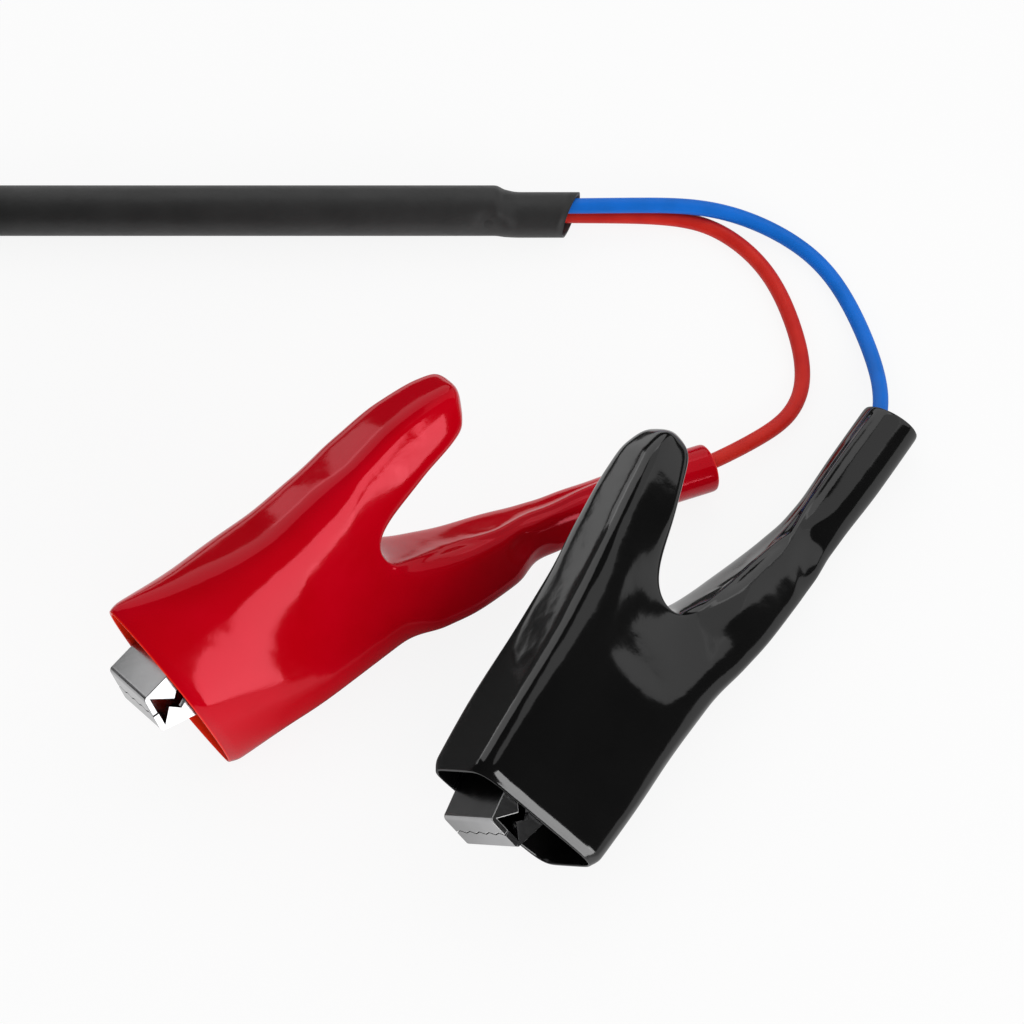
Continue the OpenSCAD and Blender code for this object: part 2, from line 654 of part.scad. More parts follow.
module red_boot() {
    boot(red_body, red_crotch, red_handle, red_arm, "red");
}

module black_boot() {
    boot(black_body, black_crotch, black_handle, black_arm, "black");
}

// Puts the origin on the table under the middle of the clips and the split
module laid() {
    translate([-middle[0], -middle[1], 0]) children();
}

module at_red() {
    laid() place(red_turn, red_place) children();
}

module at_black() {
    laid() place(black_turn, black_place) children();
}

at_red() upper_jaw();  // red_upper_jaw
at_red() lower_jaw();  // red_lower_jaw
at_red() rivet();  // red_rivet
at_red() spring();  // red_spring
at_red() red_boot();
at_red() strands();  // red_strands
at_black() upper_jaw();  // black_upper_jaw
at_black() lower_jaw();  // black_lower_jaw
at_black() rivet();  // black_rivet
at_black() spring();  // black_spring
at_black() black_boot();
at_black() strands();  // black_strands
laid() red_core();
laid() blue_core();
laid() heat_shrink();
laid() cable_end();
laid() cable_run();
laid() cable_coil();
laid() cable_tail();
laid() coil_ties();
laid() strain_relief();
laid() connector_body();
laid() connector_pin();
laid() connector_socket();
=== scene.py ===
"""Looks of a battery charger's clamp lead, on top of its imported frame."""
import math

import bpy
import numpy as np
from mathutils import Euler, Matrix, Vector


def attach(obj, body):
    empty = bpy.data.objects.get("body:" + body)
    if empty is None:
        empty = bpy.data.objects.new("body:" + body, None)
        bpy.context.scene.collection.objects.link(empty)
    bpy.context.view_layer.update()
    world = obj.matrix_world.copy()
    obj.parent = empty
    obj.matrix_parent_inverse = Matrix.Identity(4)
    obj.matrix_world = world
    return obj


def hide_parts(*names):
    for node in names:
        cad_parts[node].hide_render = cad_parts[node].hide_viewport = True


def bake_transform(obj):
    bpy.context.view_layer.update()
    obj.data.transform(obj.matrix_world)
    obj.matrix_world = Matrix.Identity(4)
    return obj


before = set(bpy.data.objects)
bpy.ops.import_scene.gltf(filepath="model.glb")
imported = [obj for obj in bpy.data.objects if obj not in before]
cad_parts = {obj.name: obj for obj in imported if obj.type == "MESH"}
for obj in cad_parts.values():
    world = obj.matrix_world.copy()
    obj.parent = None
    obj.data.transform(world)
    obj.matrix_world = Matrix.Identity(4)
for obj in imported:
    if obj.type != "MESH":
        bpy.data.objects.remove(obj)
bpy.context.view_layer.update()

MM = 0.001
MIDDLE = (-12.71, -6.33)      # middle of the clips and the split, over the origin

# The clips: [roll, pitch, yaw] in degrees and the place of the nose, in millimetres
RED_TURN, RED_PLACE = (-34.2, -6.7, 36.6), (-59, -41.2, 16)
BLACK_TURN, BLACK_PLACE = (-45, -1.1, 57.7), (-5, -64.8, 16.9)

# Sizes shared with the solids, in millimetres
JAW_HALF, JAW_GAP = 6.4, 0.3
PIVOT = (31, -1)              # the rivet, in a clip's x and z
HANDLE_REACH, ARM_REACH, SLEEVE_REACH = 67.2, 66, 100
WALL = 1.0
STRIP_END = ARM_REACH + 0.8
CRIMP_Z = -16.2
CORE_D, CABLE_D = 2.5, 7.2
SHRINK_WALL = 0.43
SHRINK_R = CABLE_D / 2 + SHRINK_WALL
SHRINK_END, SHEATH_END, SHRINK_START = 10.6, -3, -89.4
SHRINK_SOLID_SIDES = 24
CABLE_Y, CABLE_Z = 51.7, SHRINK_R * math.cos(math.pi / SHRINK_SOLID_SIDES)
TABLE_Z, TABLE_GAP = 0.0, 0.03


# ---------------------------------------------------------------- small helpers
def at_origin(p):
    """A point of the layout, in millimetres, as the frame's own point in metres."""
    return Vector((p[0] - MIDDLE[0], p[1] - MIDDLE[1], p[2])) * MM


def clip_matrix(turn, place):
    """From a clip's own axes, in millimetres, to the frame, in metres."""
    spin = Euler([math.radians(a) for a in turn], "XYZ").to_matrix().to_4x4()
    move = Matrix.Translation(Vector((place[0] - MIDDLE[0], place[1] - MIDDLE[1], place[2])))
    return Matrix.Scale(MM, 4) @ move @ spin


RED, BLACK = clip_matrix(RED_TURN, RED_PLACE), clip_matrix(BLACK_TURN, BLACK_PLACE)


def mesh_piece(name, points, faces, material, smooth=True):
    mesh = bpy.data.meshes.new(name)
    mesh.from_pydata([tuple(p) for p in points], [], faces)
    mesh.validate()
    mesh.materials.append(material)
    mesh.polygons.foreach_set("use_smooth", [smooth] * len(mesh.polygons))
    mesh.update()
    piece = bpy.data.objects.new(name, mesh)
    bpy.context.scene.collection.objects.link(piece)
    return piece


def smooth_curve(points, per_span):
    """Catmull-Rom through the points, per_span steps to each span."""
    p = [Vector(q) for q in points]
    p = [2 * p[0] - p[1]] + p + [2 * p[-1] - p[-2]]
    out = []
    for i in range(1, len(p) - 2):
        for s in range(per_span):
            t = s / per_span
            a, b, c, d = p[i - 1], p[i], p[i + 1], p[i + 2]
            out.append(0.5 * (2 * b + (c - a) * t + (2 * a - 5 * b + 4 * c - d) * t * t
                              + (3 * b - a - 3 * c + d) * t ** 3))
    return out + [p[-2]]


def above_table(point):
    """The point, lifted where it would sink into the table."""
    return Vector((point.x, point.y, max(point.z, TABLE_Z + TABLE_GAP * MM)))


def eased(first, way_in, second, way_out, t):
    """A point between two points, leaving one and meeting the other on the given ways."""
    return ((2 * t ** 3 - 3 * t * t + 1) * first + (t ** 3 - 2 * t * t + t) * way_in
            + (3 * t * t - 2 * t ** 3) * second + (t ** 3 - t * t) * way_out)


def near(points, place, radius):
    """1 at the place and 0 beyond the radius, smoothly."""
    away = np.linalg.norm((points - np.array(place)) / np.array(radius), axis=1)
    return np.clip(1 - away * away, 0, 1) ** 2


def ring_faces(rings, closed=False):
    """Quads between rings of equal count, numbered one after the other."""
    count, n = len(rings), len(rings[0])
    return [(i * n + k, i * n + (k + 1) % n, (i + 1) % count * n + (k + 1) % n,
             (i + 1) % count * n + k)
            for i in range(count if closed else count - 1) for k in range(n)]


# ---------------------------------------------------------------- camera
VIEW_TILT = 63                # degrees above the table
PIXEL = 0.158 * MM            # size of a photo pixel at the table
LENS, SENSOR = 800, 36        # in millimetres
PHOTO = 1024                  # the photo's width, in pixels
target = at_origin((0, 0, 0))
camera_data = bpy.data.cameras.new("camera")
camera_data.lens, camera_data.sensor_width = LENS, SENSOR
camera = bpy.data.objects.new("camera", camera_data)
bpy.context.scene.collection.objects.link(camera)
tilt = math.radians(VIEW_TILT)
distance = PIXEL * PHOTO * LENS / SENSOR
camera.location = target + distance * Vector((0, -math.cos(tilt), math.sin(tilt)))
camera.rotation_euler = (math.pi / 2 - tilt, 0, 0)
camera_data.clip_end = 3 * distance
bpy.context.scene.camera = camera


# ---------------------------------------------------------------- materials
class Nodes:
    """A material's node tree, with short calls for the nodes used here."""

    def __init__(self, name):
        self.material = bpy.data.materials.new(name)
        self.material.use_nodes = True
        self.tree = self.material.node_tree
        self.shader = self.tree.nodes["Principled BSDF"]
        self.place = self.new("ShaderNodeTexCoord").outputs["Object"]

    def new(self, kind, **values):
        node = self.tree.nodes.new(kind)
        for key, value in values.items():
            setattr(node, key, value)
        return node

    def link(self, source, target):
        self.tree.links.new(source, target)

    def set(self, name, value):
        self.shader.inputs[name].default_value = value

    def feed(self, name, source):
        self.link(source, self.shader.inputs[name])

    def noise(self, scale, detail=2.0, rough=0.5, stretch=None):
        node = self.new("ShaderNodeTexNoise")
        node.inputs["Scale"].default_value = scale
        node.inputs["Detail"].default_value = detail
        node.inputs["Roughness"].default_value = rough
        source = self.place
        if stretch:
            mapping = self.new("ShaderNodeMapping")
            mapping.inputs["Scale"].default_value = stretch
            self.link(source, mapping.inputs["Vector"])
            source = mapping.outputs["Vector"]
        self.link(source, node.inputs["Vector"])
        return node.outputs["Fac"]

    def ramp(self, factor, low, high, colours):
        node = self.new("ShaderNodeValToRGB")
        node.color_ramp.elements[0].position = low
        node.color_ramp.elements[1].position = high
        for element, colour in zip(node.color_ramp.elements, colours):
            element.color = (*colour, 1)
        self.link(factor, node.inputs["Fac"])
        return node.outputs["Color"]

    def spread(self, factor, low, high, start=0.0, end=1.0):
        """A factor that goes from start to end, as a value from low to high."""
        node = self.new("ShaderNodeMapRange")
        node.inputs["From Min"].default_value = start
        node.inputs["From Max"].default_value = end
        node.inputs["To Min"].default_value = low
        node.inputs["To Max"].default_value = high
        self.link(factor, node.inputs["Value"])
        return node.outputs["Result"]

    def maths(self, operation, *values):
        """The result of a sum, whose values are sockets or plain numbers."""
        node = self.new("ShaderNodeMath", operation=operation)
        for socket, value in zip(node.inputs, values):
            if isinstance(value, (int, float)):
                socket.default_value = value
            else:
                self.link(value, socket)
        return node.outputs[0]

    def mix(self, factor, first, second):
        """A colour between two, which are sockets or plain colours."""
        node = self.new("ShaderNodeMixRGB")
        self.link(factor, node.inputs["Fac"])
        for name, colour in (("Color1", first), ("Color2", second)):
            if isinstance(colour, tuple):
                node.inputs[name].default_value = (*colour, 1)
            else:
                self.link(colour, node.inputs[name])
        return node.outputs["Color"]

    def bump(self, height, strength, depth, under=None):
        node = self.new("ShaderNodeBump")
        node.inputs["Strength"].default_value = strength
        node.inputs["Distance"].default_value = depth
        self.link(height, node.inputs["Height"])
        if under:
            self.link(under, node.inputs["Normal"])
        return node.outputs["Normal"]


def grey(value):
    return (value, value, value)


# Painted shade: the grey of the red PVC's highlights where it shows in the polish of other parts
REFLECTED_SHADE_TINT = grey(0.4)


def dipped_pvc(name, dark, light, tint, reflected_shade=None, inner=None):
    """Soft PVC, dipped: an even glossy skin with a faint long-waved unevenness.

    Its first colour after the tint is painted shade: the dark grey that the outer skin shows
    in the polish of what lies beside it. The second is painted light: a bright colour of its
    inside, standing in for light that comes through the wall.
    """
    n = Nodes(name)
    colour = n.ramp(n.noise(90, 3), 0.35, 0.7, (dark, light))
    n.set("Specular Tint", (*tint, 1))
    if reflected_shade:
        # Painted shade: seen in the polish of other parts, the outer skin turns a dark grey with
        # grey highlights
        outside = n.new("ShaderNodeAttribute", attribute_name="outside").outputs["Fac"]
        in_gloss = n.new("ShaderNodeLightPath").outputs["Is Glossy Ray"]
        share = n.maths("MULTIPLY", outside, in_gloss)
        # Painted light: the inside takes a bright colour that stands in for light coming through
        # the wall
        colour = n.mix(share, n.mix(outside, inner, colour), reflected_shade)
        n.feed("Specular Tint", n.mix(share, tint, REFLECTED_SHADE_TINT))
    n.feed("Base Color", colour)
    n.feed("Roughness", n.spread(n.noise(160, 4), 0.08, 0.13))
    waves = n.bump(n.noise(120, 2), 0.25, 0.0006)
    n.feed("Normal", n.bump(n.noise(1400, 2), 0.03, 0.0002, waves))
    n.set("Specular IOR Level", 1.0)
    return n.material


def insulation(name, dark, light):
    """The cores' soft PVC, duller than the boots."""
    n = Nodes(name)
    n.feed("Base Color", n.ramp(n.noise(220, 3), 0.3, 0.7, (dark, light)))
    n.feed("Roughness", n.spread(n.noise(700, 3), 0.3, 0.45))
    n.feed("Normal", n.bump(n.noise(900, 2), 0.06, 0.0002))
    n.set("Specular IOR Level", 0.25)
    return n.material


def satin_black(name, dark, light, low, high, grain, depth):
    """Black plastic or rubber with a fine grain: heat-shrink, sheath, ties and mouldings."""
    n = Nodes(name)
    n.feed("Base Color", n.ramp(n.noise(180, 4), 0.3, 0.75, (grey(dark), grey(light))))
    n.feed("Roughness", n.spread(n.noise(350, 3), low, high))
    n.feed("Normal", n.bump(n.noise(grain, 3), 0.25, depth))
    return n.material


def metal(name, dark, light, low, high, stretch=(1, 1, 1)):
    """Bare or plated metal, with fine rolling marks where the noise is stretched."""
    n = Nodes(name)
    n.feed("Base Color", n.ramp(n.noise(240, 4), 0.3, 0.7, (dark, light)))
    n.feed("Roughness", n.spread(n.noise(500, 2, 0.5, stretch), low, high))
    n.feed("Normal", n.bump(n.noise(300, 1, 0.5, stretch), 0.03, 0.0001))
    n.set("Metallic", 1.0)
    return n.material


# The red PVC's grey 0.1 is painted shade, its outer skin in the polish of other parts; its bright
# orange inside is painted light, for light through the wall
red_pvc = dipped_pvc("red_pvc", (0.48, 0.0, 0.005), (0.53, 0.0, 0.008), (1.0, 0.18, 0.24),
                     grey(0.1), (0.95, 0.03, 0.008))
black_pvc = dipped_pvc("black_pvc", grey(0.003), grey(0.004), grey(1.0))
red_insulation = insulation("red_insulation", (0.56, 0.012, 0.008), (0.66, 0.022, 0.012))
blue_insulation = insulation("blue_insulation", (0.001, 0.145, 0.62), (0.002, 0.17, 0.74))
shrink_black = satin_black("shrink_black", 0.026, 0.034, 0.42, 0.55, 700, 0.0003)
sheath_black = satin_black("sheath_black", 0.02, 0.027, 0.5, 0.62, 900, 0.0003)
moulding_black = satin_black("moulding_black", 0.014, 0.02, 0.35, 0.5, 2500, 0.0002)
plated_steel = metal("plated_steel", (0.43, 0.43, 0.435), (0.48, 0.48, 0.485), 0.16, 0.24,
                     (1, 6, 1))
# Painted highlight: a near-white metal for worn jaw edges, so that they show as bright lines
painted_highlight_edge = metal("painted_highlight_edge", grey(0.9), grey(0.97), 0.5, 0.65)
spring_steel = metal("spring_steel", (0.3, 0.3, 0.31), (0.4, 0.4, 0.41), 0.25, 0.4)
copper = metal("copper", (0.7, 0.3, 0.16), (0.8, 0.4, 0.22), 0.25, 0.4)
brass = metal("brass", (0.7, 0.52, 0.24), (0.78, 0.6, 0.3), 0.15, 0.3)


# ---------------------------------------------------------------- stations of the boots
def over_jaws(spare):
    """Half the width of a boot over its jaws, with room to spare."""
    return JAW_HALF + JAW_GAP + WALL + spare


# Each station is x, z, tilt, half height, half width and squareness
BLACK_SLEEVE_R, RED_SLEEVE_R = 4.75, 3.9
BLACK_BODY = [
    (6, -3.4, 6.5, 14.2, over_jaws(0.1), 7), (18, -2.8, 3, 14.8, over_jaws(0.4), 7),
    (30, -2.4, 0, 15.2, over_jaws(0.4), 6), (40, -2.2, 0, 16, over_jaws(0.1), 5.5)]
BLACK_CROTCH = (48, -1.8)
BLACK_HANDLE = [
    (52, 9.4, 13, 6.1, 6.5, 5.5),
    (HANDLE_REACH - 6.2, 12, 10, 4.75, 5.8, 5), (HANDLE_REACH - 1.2, 12.8, 4, 4.2, 5, 4.2),
    (HANDLE_REACH + 2.2, 12.8, 0, 3.1, 3.8, 3.2), (HANDLE_REACH + 3.8, 12.6, 0, 0.8, 1, 2.6)]
BLACK_ARM = [
    (51, -13.1, -9, 6.9, 7.2, 4.2), (57, -15, -10, 6.1, 6.7, 3.8),
    (ARM_REACH - 2, -16.5, -8, 5.4, 5.8, 3.4), (ARM_REACH + 5, -17.7, -5, 4.8, 4.9, 3),
    (ARM_REACH + 10, -18.2, -3, 4.5, 3.9, 2.6),
    (ARM_REACH + 15, -18.5, -3, BLACK_SLEEVE_R - 0.25, BLACK_SLEEVE_R - 0.25, 2),
    (SLEEVE_REACH - 10, -18.7, -2, BLACK_SLEEVE_R, BLACK_SLEEVE_R, 2),
    (SLEEVE_REACH, -18.8, 6, BLACK_SLEEVE_R, BLACK_SLEEVE_R, 2)]
RED_BODY = [
    (6, -1.8, 6.5, 18.6, over_jaws(1.4), 1.6), (18, -2.5, 3, 16.7, over_jaws(1.5), 2.5),
    (30, -2.7, 0, 15.7, over_jaws(0.7), 4), (40, -2.2, 0, 16.2, over_jaws(0.2), 4)]
RED_CROTCH = (44, -0.7)
RED_HANDLE = [
    (50, 8.9, 13, 6.2, 6.4, 5),
    (HANDLE_REACH - 9, 10.6, 5, 5.6, 5.6, 4.4), (HANDLE_REACH - 3, 10.9, -8, 4.9, 5, 4),
    (HANDLE_REACH, 10.9, -16, 4.1, 4.1, 3.6), (HANDLE_REACH + 1.2, 10.9, -20, 2.2, 2.2, 3)]
RED_ARM = [
    (49, -13.5, -10, 6.7, 7.2, 5), (55, -15.8, -13, 6, 6.5, 4.8),
    (ARM_REACH - 3.6, -17.4, -12, 5.2, 5.3, 4.4), (ARM_REACH + 2, -18.5, -14, 4.3, 4.1, 4),
    (ARM_REACH + 7, -19.7, -16, 3.8, 3.8, 3.6),
    (ARM_REACH + 14, -21.6, -19, RED_SLEEVE_R, RED_SLEEVE_R, 2),
    (SLEEVE_REACH - 10, -25.2, -20, RED_SLEEVE_R, RED_SLEEVE_R, 2),
    (SLEEVE_REACH - 2, -28.3, -20, RED_SLEEVE_R, RED_SLEEVE_R, 2)]


def station(rows, s):
    """A row between the table's rows, without overshoot."""
    rows = np.asarray(rows, float)

    def slope(j):
        if j <= 0:
            return rows[1] - rows[0]
        if j >= len(rows) - 1:
            return rows[j] - rows[j - 1]
        a, b = rows[j] - rows[j - 1], rows[j + 1] - rows[j]
        total = np.where(a * b > 0, a + b, 1)
        return np.where(a * b > 0, 2 * a * b / total, 0)

    i = min(int(s), len(rows) - 2)
    t = s - i
    return eased(rows[i], slope(i), rows[i + 1], slope(i + 1), t)


# ---------------------------------------------------------------- cores
CORE_STEPS, CORE_ROUNDS = 6, 60        # points to a span, and rounds of evening them out
CORE_STATIONS, CRIMP_SHARE = 5, 0.4    # the sleeve's stations it passes; the last one's pull

# The free part of each core, from the sheath to the sleeve
BLUE_FREE = [(SHEATH_END, 52, 5.2), (SHEATH_END + 2, 52, 5.05), (3, 52.1, 4.65), (11, 52.3, 4.5),
             (19, 52.4, 4.4), (25, 52.7, 4.2), (30.5, 52.8, 3.5), (36, 52, 2.3),
             (41.5, 49.8, 1.5), (46.8, 46.4, 1.3), (50.4, 42.4, 1.3), (53.2, 37.5, 1.3),
             (55.6, 31.6, 1.3), (57.4, 26.2, 1.8), (58.5, 20.3, 3.4)]
RED_FREE = [(SHEATH_END, 52, 2.65), (SHEATH_END + 2, 52, 2.5), (3, 51.9, 2.1), (11, 51.8, 1.9),
            (19, 52.2, 1.6), (26.5, 52, 1.3), (30.5, 51, 1.3), (34, 49, 1.3),
            (37.8, 46, 1.3), (40.5, 42.4, 1.3), (42.6, 38.7, 1.3), (44.2, 34, 1.3),
            (45.5, 29.8, 1.3), (46.2, 25.6, 1.3), (46.2, 22.3, 1.3), (45.6, 19.2, 1.3),
            (44, 16.2, 1.4), (41.6, 13.7, 1.8), (38.2, 11.2, 2.9)]


def core_inside(arm, clip):
    """The core's points inside its boot, from the sleeve's mouth to the crimp."""
    end = len(arm) - 1
    inside = []
    for s in range(end, end - CORE_STATIONS, -1):
        x, z = station(arm, s)[:2]
        inside.append([x, 0, z])
    inside[-1][2] += CRIMP_SHARE * (CRIMP_Z - inside[-1][2])
    inside.append([STRIP_END, 0, CRIMP_Z])
    return [clip @ Vector(p) for p in inside]


def cord_curve(name, points, diameter, material, rounding=8):
    """A round cord along the points, in metres."""
    data = bpy.data.curves.new(name, "CURVE")
    data.dimensions = "3D"
    spline = data.splines.new("POLY")
    spline.points.add(len(points) - 1)
    for point, place in zip(spline.points, points):
        point.co = (*place, 1)
    data.bevel_depth = diameter / 2
    data.bevel_resolution = rounding
    data.use_fill_caps = True
    data.materials.append(material)
    piece = bpy.data.objects.new(name, data)
    bpy.context.scene.collection.objects.link(piece)
    return piece


def evened(points, rounds):
    """The same line without its small waves; its ends stay."""
    for _ in range(rounds):
        points = ([points[0]] + [(a + 2 * b + c) / 4 for a, b, c in
                                 zip(points, points[1:], points[2:])] + [points[-1]])
    return points


def core(colour, free, arm, clip, material):
    """A core from the cable's sheath, through its boot's sleeve, to the crimp."""
    points = smooth_curve([at_origin(p) for p in free] + core_inside(arm, clip), CORE_STEPS)
    points = evened(points, CORE_ROUNDS)
    piece = cord_curve(colour + "_core_wire", points, CORE_D * MM, material)
    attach(piece, "root")
    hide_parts(colour + "_core")


core("red", RED_FREE, RED_ARM, RED, red_insulation)
core("blue", BLUE_FREE, BLACK_ARM, BLACK, blue_insulation)


# ---------------------------------------------------------------- cable, coil and connector
COIL_R, COIL_LOOPS = 46, 2             # the outer loop, and loops to a layer
CLIMB, CLIMB_IN = 0.5, 1.6             # turns from layer to layer, and how far they move in
LEAVES_EARLY = 0.25                    # turns that the last loop lacks
COIL_GAP, COIL_LIFT, COIL_AWAY = 0.5, 0.8, 48.5
PITCH = CABLE_D + COIL_GAP
COIL_CENTRE = (SHRINK_START - COIL_AWAY, CABLE_Y - COIL_R)
COIL_Z = CABLE_D / 2 + COIL_LIFT
COIL_TURNS = COIL_LOOPS + CLIMB + COIL_LOOPS - LEAVES_EARLY
COIL_STEPS, CABLE_STEPS = 48, 5        # points to a turn, and to a span of the rest


def coil_point(t):
    """The cable's middle after t turns: in along one layer, up, and out along the next."""
    down, up = min(t, COIL_LOOPS), max(t - COIL_LOOPS - CLIMB, 0)
    turn = min(max((t - COIL_LOOPS) / CLIMB, 0), 1)
    r = COIL_R - PITCH * (down - up) - CLIMB_IN * math.sin(math.pi * turn)
    a = math.pi / 2 + 2 * math.pi * t
    return (COIL_CENTRE[0] + r * math.cos(a), COIL_CENTRE[1] + r * math.sin(a),
            COIL_Z + PITCH * (1 - math.cos(math.pi * turn)) / 2)


coil = [coil_point(i / COIL_STEPS) for i in range(int(COIL_TURNS * COIL_STEPS) + 1)]
RUN = [(SHRINK_START, CABLE_Y, CABLE_Z), (SHRINK_START - 16, CABLE_Y, CABLE_Z),
       (SHRINK_START - 32, CABLE_Y, 0.3 * CABLE_Z + 0.7 * COIL_Z)]
TAIL = [(-182, -3, 12.1), (-182, -12, 11.8), (-182, -22, 9.6), (-180.2, -32, 6.9),
        (-176, -40, 5.1), (-170, -46, 4.6), (-160, -53.5, 4.5)]
TIE_WIDTH, TIE_THICK, TIE_CHAMFER, TIE_BEND = 5, 0.7, 0.15, 4.4
TIE_IN, TIE_OUT = 25.1, 50.6           # from the coil's middle to the strap's two sides
TIE_GAP = 0.2
TIE_TOP = COIL_Z + PITCH + CABLE_D / 2 + TIE_GAP + TIE_THICK
TIE_TURNS = (35, 250)                  # where the ties are, in degrees
TIE_BEND_STEPS = 10


def strap_corner(inset, k, turn):
    """A point of the strap's bend k, seen along the strap, at a turn of 0 to 1."""
    bend = TIE_BEND - inset
    middle = ((TIE_OUT - TIE_BEND, TIE_BEND), (TIE_OUT - TIE_BEND, TIE_TOP - TIE_BEND),
              (TIE_IN + TIE_BEND, TIE_TOP - TIE_BEND), (TIE_IN + TIE_BEND, TIE_BEND))[k]
    a = math.radians(90 * (k - 1 + turn))
    return middle[0] + bend * math.cos(a), middle[1] + bend * math.sin(a)


def coil_straps():
    """Flat straps round the loops of the coil, bent to them at the corners."""
    half, chamfer = TIE_WIDTH / 2, TIE_CHAMFER
    section = [(half, chamfer), (half - chamfer, 0), (chamfer - half, 0), (-half, chamfer),
               (-half, TIE_THICK - chamfer), (chamfer - half, TIE_THICK),
               (half - chamfer, TIE_THICK), (half, TIE_THICK - chamfer)]
    points, faces = [], []
    for turn in TIE_TURNS:
        c, s = math.cos(math.radians(turn)), math.sin(math.radians(turn))
        rings = []
        for k in range(4):
            for j in range(TIE_BEND_STEPS + 1):
                ring = []
                for side, inset in section:
                    r, z = strap_corner(inset, k, j / TIE_BEND_STEPS)
                    ring.append(at_origin((COIL_CENTRE[0] + r * c - side * s,
                                           COIL_CENTRE[1] + r * s + side * c, z)))
                rings.append(ring)
        faces += [tuple(i + len(points) for i in f) for f in ring_faces(rings, True)]
        points += [p for ring in rings for p in ring]
    piece = mesh_piece("tie_straps", points, faces, moulding_black, smooth=False)
    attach(piece, "root")
    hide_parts("coil_ties")


coil_straps()
cable_points = (smooth_curve([at_origin(p) for p in RUN + coil[:1]], CABLE_STEPS)[:-1]
                + [at_origin(p) for p in coil[:-1]]
                + smooth_curve([at_origin(p) for p in coil[-1:] + TAIL], CABLE_STEPS))
cable = cord_curve("cable", cable_points, CABLE_D * MM, sheath_black, 12)
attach(cable, "root")
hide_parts("cable_run", "cable_coil", "cable_tail")

# ---------------------------------------------------------------- heat-shrink
NECK_Y, NECK = CABLE_Y - 0.4, (3.72, 3.3)
SHRINK_SIDES, SHRINK_STEPS = 64, 6     # points round it, and rings to a span
INNER_GAP = 0.04                       # between its inside and what it holds
# Each row is the middle's x, y and z, the half width, the half height and the end's slant
SHRINK_ROWS = [
    (SHRINK_START, CABLE_Y, CABLE_Z, SHRINK_R, SHRINK_R, 0),
    (SHEATH_END - 4, CABLE_Y, CABLE_Z, SHRINK_R, SHRINK_R, 0),
    (SHEATH_END + 0.1, CABLE_Y, CABLE_Z, SHRINK_R, SHRINK_R, 0),
    (SHEATH_END + 2, NECK_Y + 0.1, NECK[1] + 0.3, NECK[0] + 0.1, NECK[1] + 0.3, 0),
    (SHEATH_END + 4.4, NECK_Y, NECK[1], NECK[0], NECK[1], 0),
    (SHRINK_END - 1.2, NECK_Y, NECK[1], NECK[0], NECK[1], 1.4)]
# Each dent is a place in the frame, how far it reaches and its push, in millimetres
SHRINK_DENTS = [((9, 54, 5.6), (3.2, 4.2, 4), (0, 0.35, -0.45)),
                ((12.6, 52, 5.4), (3, 3.5, 4), (0, -0.1, 0.3))]


def shrink_ring(row, wall):
    ring = []
    for k in range(SHRINK_SIDES):
        a = -2 * math.pi * (k + 0.5) / SHRINK_SIDES
        u, v = math.cos(a), math.sin(a)
        ring.append(at_origin((row[0] + row[5] * u, row[1] + (row[3] - wall) * u,
                               row[2] + (row[4] - wall) * v)))
    return ring


def heat_shrink():
    """The sleeve over the cable's end and the first of the cores, with its folds."""
    shaped = (len(SHRINK_ROWS) - 2) * SHRINK_STEPS
    spots = [0, 0.5] + [1 + i / SHRINK_STEPS for i in range(shaped + 1)]
    rows = [station(SHRINK_ROWS, s) for s in spots]
    outer = [shrink_ring(r, 0) for r in rows]
    inner = [shrink_ring(r, SHRINK_WALL - INNER_GAP) for r in reversed(rows)]
    rings = outer + inner
    points = np.array([p for ring in rings for p in ring]) / MM
    for place, radius, push in SHRINK_DENTS:
        points = points + near(points, place, radius)[:, None] * np.array(push)
    points = [above_table(Vector(p)) for p in points * MM]
    piece = mesh_piece("heat_shrink_sleeve", points, ring_faces(rings, True), shrink_black)
    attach(piece, "root")
    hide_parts("heat_shrink")


heat_shrink()


# ---------------------------------------------------------------- PVC boots
SIDES = 80
STEP = 1.0                    # space between rings, in millimetres
LIP, LIP_DROP = 2.1, 0.55     # the mouth's rounded lip: its length and how far it turns in
LIP_RINGS, LEAD_IN = 6, 10    # rings in the lip, and steps from the body to a branch
THINNEST = 0.1                # half of the smallest width or height of a ring
RIM_SHARES, RIM_OUT = (0.2, 0.8), 0.3  # the rims' rings: their places in the wall, how far out
RELAX, RELAX_REACH = 0.5, (16, 20, 13) # the most that a point moves, and over what reach
ANY_Y = 1000                  # a reach past both sides


def boot_ring(row, wall=0.0, ahead=0.0):
    """One ring of a boot in the clip's axes; its first half is the lower side."""
    x, z, lean, high, wide, square = row
    a = -2 * math.pi * (np.arange(SIDES) + 0.5) / SIDES
    c, s, slant = np.cos(a), np.sin(a), math.radians(lean)
    y = max(wide - wall, THINNEST) * np.sign(c) * np.abs(c) ** (2 / square)
    q = max(high - wall, THINNEST) * np.sign(s) * np.abs(s) ** (2 / square)
    return np.stack([x - q * math.sin(slant) + ahead * math.cos(slant), y,
                     z + q * math.cos(slant) + ahead * math.sin(slant)], 1)


def rings_along(rows, wall, stop=None, lip=False):
    """Rings of a tube through its stations, up to stop; a lip turns its start in."""
    stop = len(rows) - 1 if stop is None else stop
    first_span = rows[1][0] - rows[0][0]
    spots = [LIP * k / LIP_RINGS / first_span for k in range(LIP_RINGS)] if lip else []
    for i in range(len(rows) - 1):
        span = np.linalg.norm(np.subtract(rows[i + 1], rows[i])[:2])
        count = max(2, round(span / STEP))
        spots += [i + j / count for j in range(count)]
    covered = LIP / first_span if lip else -1
    spots = [s for i, s in enumerate(spots)
             if (i < LIP_RINGS and lip or s > covered) and s < stop]
    drops = [LIP_DROP * max(1 - s * first_span / LIP, 0) ** 2 if lip else 0 for s in spots]
    return [boot_ring(station(rows, s), wall + drop)
            for s, drop in zip(spots + [stop], drops + [0])]


def lead_in(first, second, way_in, way_out):
    """Rings between two rings, leaving one and meeting the other smoothly."""
    return [eased(first, way_in, second, way_out, j / LEAD_IN) for j in range(1, LEAD_IN)]


